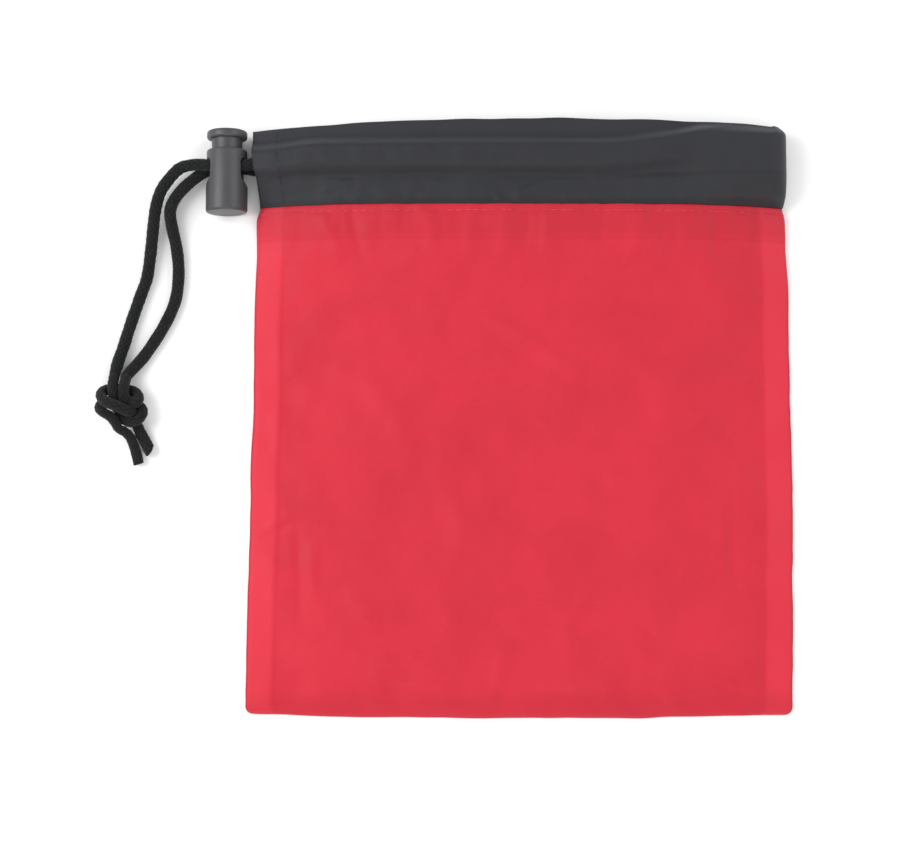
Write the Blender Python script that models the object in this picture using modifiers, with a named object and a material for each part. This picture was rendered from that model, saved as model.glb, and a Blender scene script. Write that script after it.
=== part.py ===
"""A kinchaku drawstring pouch, lying flat and empty, with its cord lock and knotted drawcord."""

import bmesh
import bpy
import numpy as np
from math import cos, pi, sin, sqrt
from mathutils import Matrix, Vector
from mathutils.geometry import interpolate_bezier

MM = 0.001

# Cloth. The pouch lies on its back: +X to its right, +Y towards its mouth, +Z up.
WALL = 0.35 * MM
EDGE_THICKNESS = 1.4 * MM
SEAM_GAP = 0.3 * MM

# Body outline: x of the side edges against y, and y of the bottom edge against the place across.
SEAM_Y = 63.5 * MM
BOTTOM_Y = -88.85 * MM
BOTTOM_RISE_LEFT = 1.2 * MM
BOTTOM_RISE_RIGHT = 0.9 * MM
CORNER_RADIUS = 2.5 * MM
BODY_LEFT = (
    (-88.9, -81.5), (-70.0, -81.2), (-24.0, -80.3), (36.0, -79.4), (60.0, -79.2), (63.5, -78.1),
)
BODY_RIGHT = (
    (-88.9, 80.6), (-54.0, 81.3), (-24.0, 81.5), (36.0, 81.1), (60.0, 80.4), (63.5, 79.6),
)
EDGE_SPLIT = 0.3 * MM
BODY_ACROSS = 17
BODY_RISE_START_Y = 22.0 * MM
SEAM_TUCK = 0.9 * MM

# Height of the front layer down the middle of the body: full where the hand goes in.
BODY_HEIGHT = (
    (-88.9, 1.4), (-84.0, 2.6), (-72.0, 5.2), (-60.0, 6.2), (10.0, 6.3), (40.0, 7.6), (63.5, 10.6),
)

# Casing: a flattened tube along the front, round the right side and back along the rear.
CASING_TOP_MIDDLE = 88.85 * MM
CASING_TOP_LEFT = 85.75 * MM
CASING_TOP_RIGHT = 86.8 * MM
CASING_LEFT_TOP = -79.95 * MM
CASING_LEFT_SEAM = -78.0 * MM
CASING_RIGHT = 80.1 * MM
CASING_FLAT = 1.2 * MM
CHANNEL_HEIGHT = 5.1 * MM
MOUTH_GAP = 5.0 * MM
LEFT_GAP = 0.35 * MM
RIGHT_GAP = 2.6 * MM
HALF_WIDTH = 79.0 * MM
SHUT_SEAM_HEIGHT = 1.6 * MM
SHUT_SEAM_RISE = 8.5 * MM
SHUT_TOP_HEIGHT = 3.4 * MM
SHUT_TOP_START_Y = 84.0 * MM
SHUT_TOP_FALL = 5.0 * MM
OPEN_CORNER_REACH = 60.0 * MM
CHANNEL_SLOPE = 4.2 * MM
CHANNEL_HALF_FLAT = 2.3 * MM
TURN_HALF_FLAT = 4.6 * MM
TURN_CORD_HALF_FLAT = 8.6 * MM
TURN_BLEND_START = 0.78
TURN_BLEND_REACH = 0.2
TOP_CORNER_ROUND = 1.6 * MM
SEAM_CORNER_ROUND = 0.5 * MM

# Drawcord.
CORD = 3.6 * MM
FRONT_CORD_Y = 78.0 * MM
FRONT_CORD_EXIT_Y = 76.4 * MM
FRONT_CORD_EXIT_REACH = 20.0 * MM
CORD_DRIFT_START_X = 20.0 * MM
CORD_DRIFT_REACH = 54.0 * MM
BACK_CORD_Y = 74.9 * MM
BACK_CORD_TURN_Y = 67.6 * MM
FRONT_CORD_TURN_Y = 82.6 * MM
INNER_CORD_START = 0.042
INNER_CORD_POINTS = 60
TURN_START_X = 73.5 * MM

# Free strands, from 5 mm inside the casing's left end, through the lock, to the knot (millimetres).
FRONT_STRAND = (
    (-73.7, 76.6, 8.85), (-77.1, 76.4, 8.2), (-80.4, 75.9, 7.95), (-84.0, 75.5, 8.15),
    (-91.5, 75.5, 8.15), (-95.0, 75.8, 7.6), (-98.2, 75.9, 6.9), (-101.9, 75.0, 6.2),
    (-105.3, 71.8, 5.3), (-107.9, 67.9, 4.7), (-109.3, 62.8, 4.2), (-110.1, 56.9, 3.3),
    (-110.9, 49.4, 2.4), (-111.9, 42.5, 1.95), (-113.4, 38.1, 1.85), (-115.1, 33.1, 1.85),
    (-117.0, 27.3, 1.85), (-118.7, 21.6, 1.9), (-120.2, 15.4, 2.4), (-121.0, 10.6, 3.6),
)
BACK_STRAND = (
    (-73.7, 74.9, 2.5), (-77.0, 74.9, 2.45), (-79.4, 75.1, 2.9), (-82.6, 75.4, 4.1),
    (-87.7, 75.4, 4.3), (-91.8, 75.3, 4.3), (-94.8, 74.2, 4.3),
    (-97.5, 72.4, 4.3), (-100.8, 69.5, 4.25), (-103.6, 66.0, 4.2), (-104.9, 62.2, 4.1),
    (-104.3, 57.3, 3.4), (-103.2, 52.2, 2.4), (-102.5, 46.4, 1.95), (-102.5, 41.6, 1.85),
    (-103.1, 36.5, 1.85), (-104.6, 32.0, 1.85), (-106.9, 27.4, 1.85), (-109.3, 23.4, 1.85),
    (-112.8, 18.3, 1.95), (-115.6, 13.9, 2.6), (-117.0, 10.4, 3.6),
)
STRAND_POINTS = 30

# Knot and the two cut tails (millimetres).
KNOT_CENTRE = (-119.1, 3.6, 4.7)
KNOT_SIZE = (15.0, 13.0, 9.0)
FRONT_TAIL = ((-116.2, -2.9, 5.6), (-115.4, -6.0, 4.9), (-114.5, -9.8, 3.4), (-113.7, -13.6, 1.9))
BACK_TAIL = ((-114.5, -2.2, 1.85), (-113.0, -4.9, 1.85), (-111.7, -7.2, 1.85), (-110.5, -9.4, 1.85))
TAIL_POINTS = 6

# Cord lock: a barrel lying on its side, its axis along Y, with the plunger's head towards +Y.
LOCK_X = -87.7 * MM
LOCK_Z = 6.3 * MM
BARREL_BOTTOM_Y = 61.5 * MM
BARREL_TOP_Y = 80.4 * MM
BARREL_RADIUS = 6.25 * MM
COLLAR_RADIUS = 6.05 * MM
BORE_RADIUS = 4.75 * MM
BORE_FLOOR = 1.7 * MM
WAIST_WIDTH = 9.6 * MM
WAIST_Y = 73.2 * MM
WAIST_TOP_Y = 77.8 * MM
WAIST_BOTTOM_Y = 68.7 * MM
WAIST_FLAT = 1.0 * MM
SLOT_TOP_Y = 77.6 * MM
SLOT_BOTTOM_Y = 70.8 * MM
BARREL_SLOT_DEPTH = 8.2 * MM
PLUNGER_SLOT_DEPTH = 7.9 * MM
SLOT_CUT_WIDTH = 20.0 * MM
SLOT_CORNER = 1.2 * MM
BARREL_EDGE = 0.8 * MM
COLLAR_EDGE = 0.6 * MM
BORE_CHAMFER = 0.3 * MM
PLUNGER_TRAVEL = 2.6 * MM
PLUNGER_RADIUS = 4.5 * MM
NECK_RADIUS = 4.72 * MM
HEAD_RADIUS = 6.05 * MM
HEAD_UNDERSIDE_Y = 83.7 * MM
HEAD_TOP_Y = 86.2 * MM
PLUNGER_FOOT = 2.4 * MM
HEAD_EDGE = 0.7 * MM
SPRING_SEAT = 1.0 * MM
STEM_CHAMFER = 0.4 * MM
SPRING_RADIUS = 3.2 * MM
SPRING_WIRE = 0.7 * MM
SPRING_TURNS = 4.0
SPRING_GAP = 0.1 * MM
ROUND_SEGMENTS = 40

MATERIALS = {
    "red_nylon": ((0.62, 0.021, 0.044), 0.62, 0.0),
    "black_nylon": ((0.025, 0.026, 0.031), 0.60, 0.0),
    "black_cord": ((0.011, 0.012, 0.013), 0.80, 0.0),
    "grey_plastic": ((0.055, 0.054, 0.060), 0.45, 0.0),
    "spring_steel": ((0.55, 0.55, 0.56), 0.30, 1.0),
}


def clear_scene():
    for old in list(bpy.data.objects):
        bpy.data.objects.remove(old, do_unlink=True)


def make_collection(name):
    collection = bpy.data.collections.new(name)
    bpy.context.scene.collection.children.link(collection)
    return collection


def make_material(name):
    colour, roughness, metallic = MATERIALS[name]
    material = bpy.data.materials.new(name)
    material.use_nodes = True
    shader = material.node_tree.nodes["Principled BSDF"]
    shader.inputs["Base Color"].default_value = (*colour, 1.0)
    shader.inputs["Roughness"].default_value = roughness
    shader.inputs["Metallic"].default_value = metallic
    return material


def add_object(name, data, collection, material=None):
    item = bpy.data.objects.new(name, data)
    collection.objects.link(item)
    if material:
        data.materials.append(material)
    return item


def mix(a, b, t):
    return a + (b - a) * t


def smooth_step(t):
    t = min(max(t, 0.0), 1.0)
    return t * t * (3.0 - 2.0 * t)


def along(table, y):
    """Value at y of a smooth curve through (y, value) pairs in millimetres."""
    ys = [row[0] * MM for row in table]
    values = [row[1] * MM for row in table]
    if y <= ys[0]:
        return values[0]
    for low in range(len(ys) - 1):
        if y <= ys[low + 1]:
            t = (y - ys[low]) / (ys[low + 1] - ys[low])
            return mix(values[low], values[low + 1], 0.5 * t + 0.5 * smooth_step(t))
    return values[-1]


def lens(x):
    """How open the mouth is at x: 1 over the middle, falling to 0 at the two sides."""
    t = abs(x) / HALF_WIDTH
    return max(0.0, 1.0 - t ** 4)


def side_gap(x):
    """Gap between the front and back channels at the sides: closed at the left, wider at the right turn."""
    return mix(LEFT_GAP, RIGHT_GAP, smooth_step((x + HALF_WIDTH) / (2.0 * HALF_WIDTH)))


def back_cord_y(x):
    """The back run drops towards the seam at the right, so that the turn is an easy one."""
    return mix(BACK_CORD_Y, BACK_CORD_TURN_Y, smooth_step((x - CORD_DRIFT_START_X) / CORD_DRIFT_REACH))


def front_cord_y(x):
    """The front run leaves the left end a little low, and rises towards the top fold at the right."""
    from_exit = smooth_step((x - CASING_LEFT_SEAM) / FRONT_CORD_EXIT_REACH)
    towards_turn = smooth_step((x - CORD_DRIFT_START_X) / CORD_DRIFT_REACH)
    return mix(mix(FRONT_CORD_EXIT_Y, FRONT_CORD_Y, from_exit), FRONT_CORD_TURN_Y, towards_turn)


def channel_thickness(y, cord_y, half_flat):
    """Thickness of one channel: flat cloth, swelling over the cord."""
    t = (abs(y - cord_y) - half_flat) / CHANNEL_SLOPE
    return mix(CHANNEL_HEIGHT, CASING_FLAT, smooth_step(t))


def front_inner_z(x, y):
    """Height of the front channel's inner layer, which drops to the seam where the mouth is shut."""
    open_height = CHANNEL_HEIGHT + MOUTH_GAP
    over_cord = CHANNEL_HEIGHT + side_gap(x)
    if y < FRONT_CORD_Y:
        shut_height = mix(SHUT_SEAM_HEIGHT, over_cord, smooth_step((y - SEAM_Y) / SHUT_SEAM_RISE))
    else:
        shut_height = mix(over_cord, SHUT_TOP_HEIGHT, smooth_step((y - SHUT_TOP_START_Y) / SHUT_TOP_FALL))
    if y >= FRONT_CORD_Y and x > 0.0:
        shut_height = mix(shut_height, over_cord, smooth_step(x / OPEN_CORNER_REACH))
    return mix(shut_height, open_height, lens(x))


def casing_top(u):
    """Top fold of the casing across its width, u from 0 at the left to 1 at the right."""
    bow = 1.0 - (2.0 * u - 1.0) ** 2
    ends = mix(CASING_TOP_LEFT, CASING_TOP_RIGHT, u)
    return ends + (CASING_TOP_MIDDLE - 0.5 * (CASING_TOP_LEFT + CASING_TOP_RIGHT)) * bow


def casing_left(v):
    """Left end of the casing against height, v from 0 at the seam to 1 at the top fold."""
    return mix(CASING_LEFT_SEAM, CASING_LEFT_TOP, smooth_step(v * 1.3))


def casing_right(v):
    """Right edge of the casing, rounded over at the top fold and drawn in a little at the seam."""
    top = TOP_CORNER_ROUND * max(0.0, (v - 0.9) / 0.1) ** 2
    seam = SEAM_CORNER_ROUND * max(0.0, (0.2 - v) / 0.2) ** 2
    return CASING_RIGHT - top - seam


def casing_point(path, v, outer):
    """A point of the casing. path is 0..1 along the front, 1..2 round the turn, 2..3 along the back."""
    turn_reach_in = 0.5 * RIGHT_GAP
    if path <= 1.0:
        u = path
    elif path <= 2.0:
        u = 1.0
    else:
        u = 3.0 - path
    y = mix(SEAM_Y + 0.5 * SEAM_GAP, casing_top(u), v)
    turn = smooth_step((u - TURN_BLEND_START) / TURN_BLEND_REACH)
    half_flat = mix(CHANNEL_HALF_FLAT, TURN_HALF_FLAT, turn)
    middle = 0.5 * (FRONT_CORD_TURN_Y + BACK_CORD_TURN_Y)
    turn_thickness = channel_thickness(y, middle, TURN_CORD_HALF_FLAT)
    x_turn = casing_right(v) - turn_reach_in - turn_thickness
    x = mix(casing_left(v), x_turn, u)
    front = mix(channel_thickness(y, front_cord_y(x), half_flat), turn_thickness, turn)
    back = mix(channel_thickness(y, back_cord_y(x), half_flat), turn_thickness, turn)
    inner_z = front_inner_z(x, y)
    if path <= 1.0:
        return Vector((x, y, inner_z + front if outer else inner_z))
    if path >= 2.0:
        return Vector((x, y, 0.0 if outer else back))
    angle = (path - 1.0) * pi
    reach = turn_reach_in + turn_thickness if outer else turn_reach_in
    high = inner_z + front if outer else inner_z
    low = 0.0 if outer else back
    middle_z = 0.5 * (high + low)
    return Vector((x + reach * sin(angle), y, middle_z + 0.5 * (high - low) * cos(angle)))


def loft(rings):
    """A quad surface through rings of points, each ring a closed loop."""
    shape = bmesh.new()
    rows = [[shape.verts.new(point) for point in ring] for ring in rings]
    count = len(rows[0])
    for row, following in zip(rows, rows[1:]):
        for index in range(count):
            after = (index + 1) % count
            shape.faces.new((row[index], row[after], following[after], following[index]))
    return shape


def finish_mesh(shape, name):
    bmesh.ops.recalc_face_normals(shape, faces=shape.faces)
    mesh = bpy.data.meshes.new(name)
    shape.to_mesh(mesh)
    shape.free()
    mesh.shade_smooth()
    return mesh


def add_wall(item):
    wall = item.modifiers.new("cloth", "SOLIDIFY")
    wall.thickness = WALL
    wall.offset = -1.0
    wall.use_even_offset = True
    wall.use_rim = True


def body_ring(y_level, inset):
    """One loop round the body at a height above the bottom edge, from the left edge and back again."""
    left = along(BODY_LEFT, y_level) + inset
    right = along(BODY_RIGHT, y_level) - inset
    rise = (y_level - BOTTOM_Y) / (SEAM_Y - BOTTOM_Y)
    front = []
    back = []
    for index in range(BODY_ACROSS):
        u = 0.5 - 0.5 * cos(pi * index / (BODY_ACROSS - 1))
        x = mix(left, right, u)
        edge_rise = mix(BOTTOM_RISE_LEFT, BOTTOM_RISE_RIGHT, u) * (2.0 * u - 1.0) ** 2
        y = y_level + edge_rise * (1.0 - rise) ** 3
        crown = 1.0 - abs(2.0 * u - 1.0) ** 3
        height = mix(EDGE_THICKNESS, along(BODY_HEIGHT, y_level), crown)
        seam_height = front_inner_z(x, SEAM_Y) + SEAM_TUCK
        near_seam = smooth_step((y_level - BODY_RISE_START_Y) / (SEAM_Y - BODY_RISE_START_Y))
        height = mix(height, max(seam_height, EDGE_THICKNESS), near_seam)
        front.append(Vector((x, y, height)))
        back.append(Vector((x, y, 0.0)))
    half_edge = 0.5 * (front[0].z + back[0].z)
    front[0] = Vector((left, front[0].y, half_edge + EDGE_SPLIT))
    back[0] = Vector((left, back[0].y, half_edge - EDGE_SPLIT))
    half_edge = 0.5 * (front[-1].z + back[-1].z)
    front[-1] = Vector((right, front[-1].y, half_edge + EDGE_SPLIT))
    back[-1] = Vector((right, back[-1].y, half_edge - EDGE_SPLIT))
    return front + back[::-1]


def make_pouch_body(collection):
    """One piece of nylon, folded at the right and seamed at the left and the bottom: an open-topped bag."""
    levels = [0.0, 0.7 * MM, 1.6 * MM, CORNER_RADIUS, 5.0 * MM, 9.0 * MM, 16.0 * MM]
    heights = [BOTTOM_Y + level for level in levels]
    last = SEAM_Y - 0.5 * SEAM_GAP
    steps = 13
    heights += [mix(heights[-1], last, (index + 1) / steps) for index in range(steps)]
    rings = []
    for height in heights:
        above = height - BOTTOM_Y
        short = max(0.0, CORNER_RADIUS - above)
        inset = CORNER_RADIUS - sqrt(CORNER_RADIUS ** 2 - short ** 2)
        rings.append(body_ring(height, inset))
    shape = loft(rings)
    shape.verts.ensure_lookup_table()
    bottom = shape.verts[: len(rings[0])]
    for index in range(BODY_ACROSS - 1):
        opposite = len(bottom) - 1 - index
        shape.faces.new((bottom[index], bottom[index + 1], bottom[opposite - 1], bottom[opposite]))
    mesh = finish_mesh(shape, "pouch_body")
    item = add_object("pouch_body", mesh, collection, make_material("red_nylon"))
    add_wall(item)
    return item


def casing_paths():
    front = [0.0, 0.03, 0.08, 0.15, 0.24, 0.34, 0.44, 0.54, 0.64, 0.73, 0.81, 0.88, 0.94, 0.98]
    turn = [1.0 + index / 8.0 for index in range(9)]
    return front + turn + [3.0 - path for path in reversed(front)]


def make_casing(collection):
    """The casing strip: a flattened tube, open at its left ends, folded at the top, sewn at the seam."""
    layer = [0.0, 0.07, 0.18, 0.30, 0.42, 0.54, 0.66, 0.78, 0.89, 0.97]
    rings = []
    for path in casing_paths():
        outer = [casing_point(path, v, True) for v in layer]
        inner = [casing_point(path, v, False) for v in layer]
        fold = 0.5 * (casing_point(path, 1.0, True) + casing_point(path, 1.0, False))
        rings.append(outer + [fold] + inner[::-1])
    shape = loft(rings)
    item = add_object("casing", finish_mesh(shape, "casing"), collection, make_material("black_nylon"))
    add_wall(item)
    return item


def smooth_route(points, count):
    """Evenly spaced points on a smooth curve through a route's own points."""
    nodes = [Vector(point) * MM for point in points]
    fine = []
    for index in range(len(nodes) - 1):
        before = nodes[max(index - 1, 0)]
        start = nodes[index]
        end = nodes[index + 1]
        after = nodes[min(index + 2, len(nodes) - 1)]
        span = (end - start).length
        lead_in = (end - before).normalized() * span / 3.0
        lead_out = (after - start).normalized() * span / 3.0
        fine += interpolate_bezier(start, start + lead_in, end - lead_out, end, 12)[:-1]
    fine.append(nodes[-1])
    lengths = [0.0]
    for start, end in zip(fine, fine[1:]):
        lengths.append(lengths[-1] + (end - start).length)
    even = []
    for index in range(count):
        goal = lengths[-1] * index / (count - 1)
        even.append(Vector([float(np.interp(goal, lengths, [p[axis] for p in fine])) for axis in range(3)]))
    return even


def make_tube(name, points, diameter, collection, material):
    """A round tube along a route, as a poly curve with filled caps."""
    curve = bpy.data.curves.new(name, "CURVE")
    curve.dimensions = "3D"
    curve.bevel_depth = 0.5 * diameter
    curve.bevel_resolution = 2
    curve.use_fill_caps = True
    spline = curve.splines.new("POLY")
    spline.points.add(len(points) - 1)
    for knot, point in zip(spline.points, points):
        knot.co = (*point, 1.0)
    spline.use_smooth = True
    return add_object(name, curve, collection, material)


def make_drawcord_in_casing(collection, material):
    """The hidden run of the cord: along the front channel, round the turn and back along the rear one."""
    route = []
    for path in np.linspace(INNER_CORD_START, 3.0 - INNER_CORD_START, INNER_CORD_POINTS + 1):
        u = path if path <= 1.0 else (1.0 if path <= 2.0 else 3.0 - path)
        x = mix(CASING_LEFT_SEAM, TURN_START_X, u)
        front_y = front_cord_y(x)
        back_y = back_cord_y(x)
        if path <= 1.0:
            y = front_y
        elif path >= 2.0:
            y = back_y
        else:
            y = mix(front_y, back_y, smooth_step(path - 1.0))
        v = (y - SEAM_Y) / (casing_top(u) - SEAM_Y)
        outer = casing_point(path, v, True)
        inner = casing_point(path, v, False)
        route.append((outer + inner) / (2.0 * MM))
    inner_run = smooth_route(route, INNER_CORD_POINTS)
    return make_tube("drawcord_in_casing", inner_run, CORD, collection, material)


def turned(name, profile, collection, material=None):
    """A turned shape about the lock's axis, from a profile of (radius, y) pairs."""
    mesh = bpy.data.meshes.new(name)
    verts = [(radius, 0.0, y) for radius, y in profile]
    mesh.from_pydata(verts, [(index, index + 1) for index in range(len(verts) - 1)], [])
    item = add_object(name, mesh, collection, material)
    screw = item.modifiers.new("turn", "SCREW")
    screw.axis = "Z"
    screw.steps = ROUND_SEGMENTS
    screw.render_steps = ROUND_SEGMENTS
    screw.use_merge_vertices = True
    screw.merge_threshold = 0.00001
    item.rotation_euler = (-0.5 * pi, 0.0, 0.0)
    item.location = (LOCK_X, 0.0, LOCK_Z)
    return item


def arc(centre_radius, centre_y, radius, start, end, steps=4):
    """Points of a rounded edge in a turned profile, angles in turns of a right angle."""
    points = []
    for index in range(steps + 1):
        angle = mix(start, end, index / steps) * 0.5 * pi
        points.append((centre_radius + radius * cos(angle), centre_y + radius * sin(angle)))
    return points


def cut(item, cutter, name):
    boolean = item.modifiers.new(name, "BOOLEAN")
    boolean.operation = "DIFFERENCE"
    boolean.object = cutter
    boolean.solver = "EXACT"


def hide_cutter(cutter):
    cutter.hide_render = True
    cutter.display_type = "WIRE"


def make_slot_cutter(name, low_y, high_y, depth, collection):
    """A slot across the lock with rounded corners, for the two strands lying one over the other."""
    shape = bmesh.new()
    bmesh.ops.create_cube(shape, size=1.0)
    bmesh.ops.scale(shape, vec=(SLOT_CUT_WIDTH, high_y - low_y, depth), verts=shape.verts)
    mesh = bpy.data.meshes.new(name)
    shape.to_mesh(mesh)
    shape.free()
    cutter = add_object(name, mesh, collection)
    cutter.location = (LOCK_X, 0.5 * (low_y + high_y), LOCK_Z)
    corner = cutter.modifiers.new("corner", "BEVEL")
    corner.width = SLOT_CORNER
    corner.segments = 3
    hide_cutter(cutter)
    return cutter


def make_waist_cutter(name, side, collection):
    """What is scooped out of one side of the barrel: a hollow in plan, deepest at the waist."""
    outline = []
    steps = 12
    clear = 0.05 * MM
    depth = BARREL_RADIUS - 0.5 * WAIST_WIDTH + clear
    for index in range(steps + 1):
        y = mix(WAIST_BOTTOM_Y, WAIST_TOP_Y, index / steps)
        if y < WAIST_Y:
            near = smooth_step((y - WAIST_BOTTOM_Y) / (WAIST_Y - WAIST_FLAT - WAIST_BOTTOM_Y))
        else:
            near = smooth_step((WAIST_TOP_Y - y) / (WAIST_TOP_Y - WAIST_Y - WAIST_FLAT))
        outline.append((side * (BARREL_RADIUS + clear - depth * near), y))
    outline.append((side * 2.0 * BARREL_RADIUS, WAIST_TOP_Y))
    outline.append((side * 2.0 * BARREL_RADIUS, WAIST_BOTTOM_Y))
    shape = bmesh.new()
    height = 2.4 * BARREL_RADIUS
    face = shape.faces.new([shape.verts.new((x, y, -0.5 * height)) for x, y in outline])
    grown = bmesh.ops.extrude_face_region(shape, geom=[face])
    lifted = [part for part in grown["geom"] if isinstance(part, bmesh.types.BMVert)]
    bmesh.ops.translate(shape, vec=(0.0, 0.0, height), verts=lifted)
    bmesh.ops.recalc_face_normals(shape, faces=shape.faces)
    mesh = bpy.data.meshes.new(name)
    shape.to_mesh(mesh)
    shape.free()
    cutter = add_object(name, mesh, collection)
    cutter.location = (LOCK_X, 0.0, LOCK_Z)
    hide_cutter(cutter)
    return cutter


def make_lock_barrel(collection, cutters, material):
    """The barrel: blind bore from the top, a slot across it for both strands, waisted at each side."""
    floor = BARREL_BOTTOM_Y + BORE_FLOOR
    profile = [(0.0, floor), (BORE_RADIUS, floor)]
    profile += [(BORE_RADIUS, BARREL_TOP_Y - BORE_CHAMFER), (BORE_RADIUS + BORE_CHAMFER, BARREL_TOP_Y)]
    profile += arc(COLLAR_RADIUS - COLLAR_EDGE, BARREL_TOP_Y - COLLAR_EDGE, COLLAR_EDGE, 1.0, 0.0)
    profile += [(BARREL_RADIUS, WAIST_BOTTOM_Y)]
    profile += arc(BARREL_RADIUS - BARREL_EDGE, BARREL_BOTTOM_Y + BARREL_EDGE, BARREL_EDGE, 0.0, -1.0)
    profile.append((0.0, BARREL_BOTTOM_Y))
    barrel = turned("cord_lock_barrel", profile, collection, material)
    for side, word in ((-1, "left"), (1, "right")):
        cut(barrel, make_waist_cutter("waist_" + word, side, cutters), "waist_" + word)
    slot = make_slot_cutter("barrel_slot", SLOT_BOTTOM_Y, SLOT_TOP_Y, BARREL_SLOT_DEPTH, cutters)
    cut(barrel, slot, "cord_slot")
    return barrel


def make_lock_plunger(collection, cutters, material):
    """The plunger: rounded head, neck tapering to the stem, a slot for the cord and a spring seat."""
    edge = HEAD_EDGE
    low = SLOT_BOTTOM_Y + PLUNGER_TRAVEL
    foot = low - PLUNGER_FOOT
    seat = foot + SPRING_SEAT
    recess = SPRING_RADIUS + SPRING_WIRE
    profile = [(0.0, HEAD_TOP_Y)]
    profile += arc(HEAD_RADIUS - edge, HEAD_TOP_Y - edge, edge, 1.0, 0.0)
    profile += arc(HEAD_RADIUS - edge, HEAD_UNDERSIDE_Y + edge, edge, 0.0, -1.0)
    profile += [(NECK_RADIUS, HEAD_UNDERSIDE_Y), (PLUNGER_RADIUS, BARREL_TOP_Y + STEM_CHAMFER)]
    profile += [(PLUNGER_RADIUS, foot + STEM_CHAMFER), (PLUNGER_RADIUS - STEM_CHAMFER, foot)]
    profile += [(recess, foot), (recess, seat), (0.0, seat)]
    plunger = turned("cord_lock_plunger", profile, collection, material)
    high = SLOT_TOP_Y + PLUNGER_TRAVEL - SPRING_GAP
    slot = make_slot_cutter("plunger_slot", low, high, PLUNGER_SLOT_DEPTH, cutters)
    cut(plunger, slot, "cord_slot")
    return plunger


def make_lock_spring(collection):
    """The compression spring between the barrel's floor and the plunger's seat."""
    inset = 0.5 * SPRING_WIRE + SPRING_GAP
    low = BARREL_BOTTOM_Y + BORE_FLOOR + inset
    high = SLOT_BOTTOM_Y + PLUNGER_TRAVEL - PLUNGER_FOOT + SPRING_SEAT - inset
    points = []
    count = int(SPRING_TURNS * 12) + 1
    for index in range(count):
        t = index / (count - 1)
        angle = 2.0 * pi * SPRING_TURNS * t
        points.append(Vector((
            LOCK_X + SPRING_RADIUS * cos(angle), mix(low, high, t), LOCK_Z + SPRING_RADIUS * sin(angle))))
    steel = make_material("spring_steel")
    return make_tube("cord_lock_spring", points, SPRING_WIRE, collection, steel)


def make_knot(collection, material):
    """The overhand knot tied with both strands, as one rounded lump resting on the ground."""
    shape = bmesh.new()
    bmesh.ops.create_uvsphere(shape, u_segments=18, v_segments=10, radius=0.5)
    mesh = bpy.data.meshes.new("drawcord_knot")
    shape.transform(Matrix.Diagonal((*[size * MM for size in KNOT_SIZE], 1.0)))
    shape.to_mesh(mesh)
    shape.free()
    mesh.shade_smooth()
    knot = add_object("drawcord_knot", mesh, collection, material)
    knot.location = Vector(KNOT_CENTRE) * MM
    return knot


def main():
    clear_scene()
    pouch = make_collection("drawstring_pouch")
    cutters = make_collection("cutters")
    cord = make_material("black_cord")
    plastic = make_material("grey_plastic")
    make_pouch_body(pouch)
    make_casing(pouch)
    make_drawcord_in_casing(pouch, cord)
    front_strand = smooth_route(FRONT_STRAND, STRAND_POINTS)
    make_tube("drawcord_front_strand", front_strand, CORD, pouch, cord)
    back_strand = smooth_route(BACK_STRAND, STRAND_POINTS)
    make_tube("drawcord_back_strand", back_strand, CORD, pouch, cord)
    make_knot(pouch, cord)
    make_tube("drawcord_front_tail", smooth_route(FRONT_TAIL, TAIL_POINTS), CORD, pouch, cord)
    make_tube("drawcord_back_tail", smooth_route(BACK_TAIL, TAIL_POINTS), CORD, pouch, cord)
    make_lock_barrel(pouch, cutters, plastic)
    make_lock_plunger(pouch, cutters, plastic)
    make_lock_spring(pouch)


main()
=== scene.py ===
from math import cos, pi, radians, sin

import bmesh
import bpy
import numpy as np
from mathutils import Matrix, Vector


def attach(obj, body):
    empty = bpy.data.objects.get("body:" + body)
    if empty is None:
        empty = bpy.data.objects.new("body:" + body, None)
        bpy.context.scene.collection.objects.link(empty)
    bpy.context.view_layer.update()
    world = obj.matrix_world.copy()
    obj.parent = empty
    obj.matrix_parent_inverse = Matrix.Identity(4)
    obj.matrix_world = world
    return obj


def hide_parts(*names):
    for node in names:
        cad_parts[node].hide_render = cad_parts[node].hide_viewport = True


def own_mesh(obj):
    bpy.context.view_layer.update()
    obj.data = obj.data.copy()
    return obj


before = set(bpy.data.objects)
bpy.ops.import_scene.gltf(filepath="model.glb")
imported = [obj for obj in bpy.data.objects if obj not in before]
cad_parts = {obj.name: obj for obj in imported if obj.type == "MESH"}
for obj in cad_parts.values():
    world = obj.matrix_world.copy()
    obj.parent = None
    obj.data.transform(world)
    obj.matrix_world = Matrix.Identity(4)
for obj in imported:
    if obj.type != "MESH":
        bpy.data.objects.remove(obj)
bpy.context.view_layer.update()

mm = 0.001
print("frame loaded:", len(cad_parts), "nodes")

# camera, light and floor

studio = {
    "cameraTarget": (-20.75, -1.15, 0.0),
    "cameraDistance": 600.0,
    "cameraElevation": 85.0,
    "cameraLens": 80.0,
    "worldStrength": 0.72,
    "floorSize": 6.0,
    "floorColour": (0.95, 0.95, 0.95),
    # name, place in metres, size in metres, power in watts
    "softboxes": [
        ("leftSoftbox", (-0.62, 0.10, 0.62), 0.55, 4.6),
        ("rightSoftbox", (0.70, 0.25, 0.70), 0.60, 2.6),
        ("frontSoftbox", (0.0, -0.80, 0.42), 0.60, 2.4),
    ],
}


def setInput(node, name, value):
    node.inputs[name].default_value = value


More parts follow.
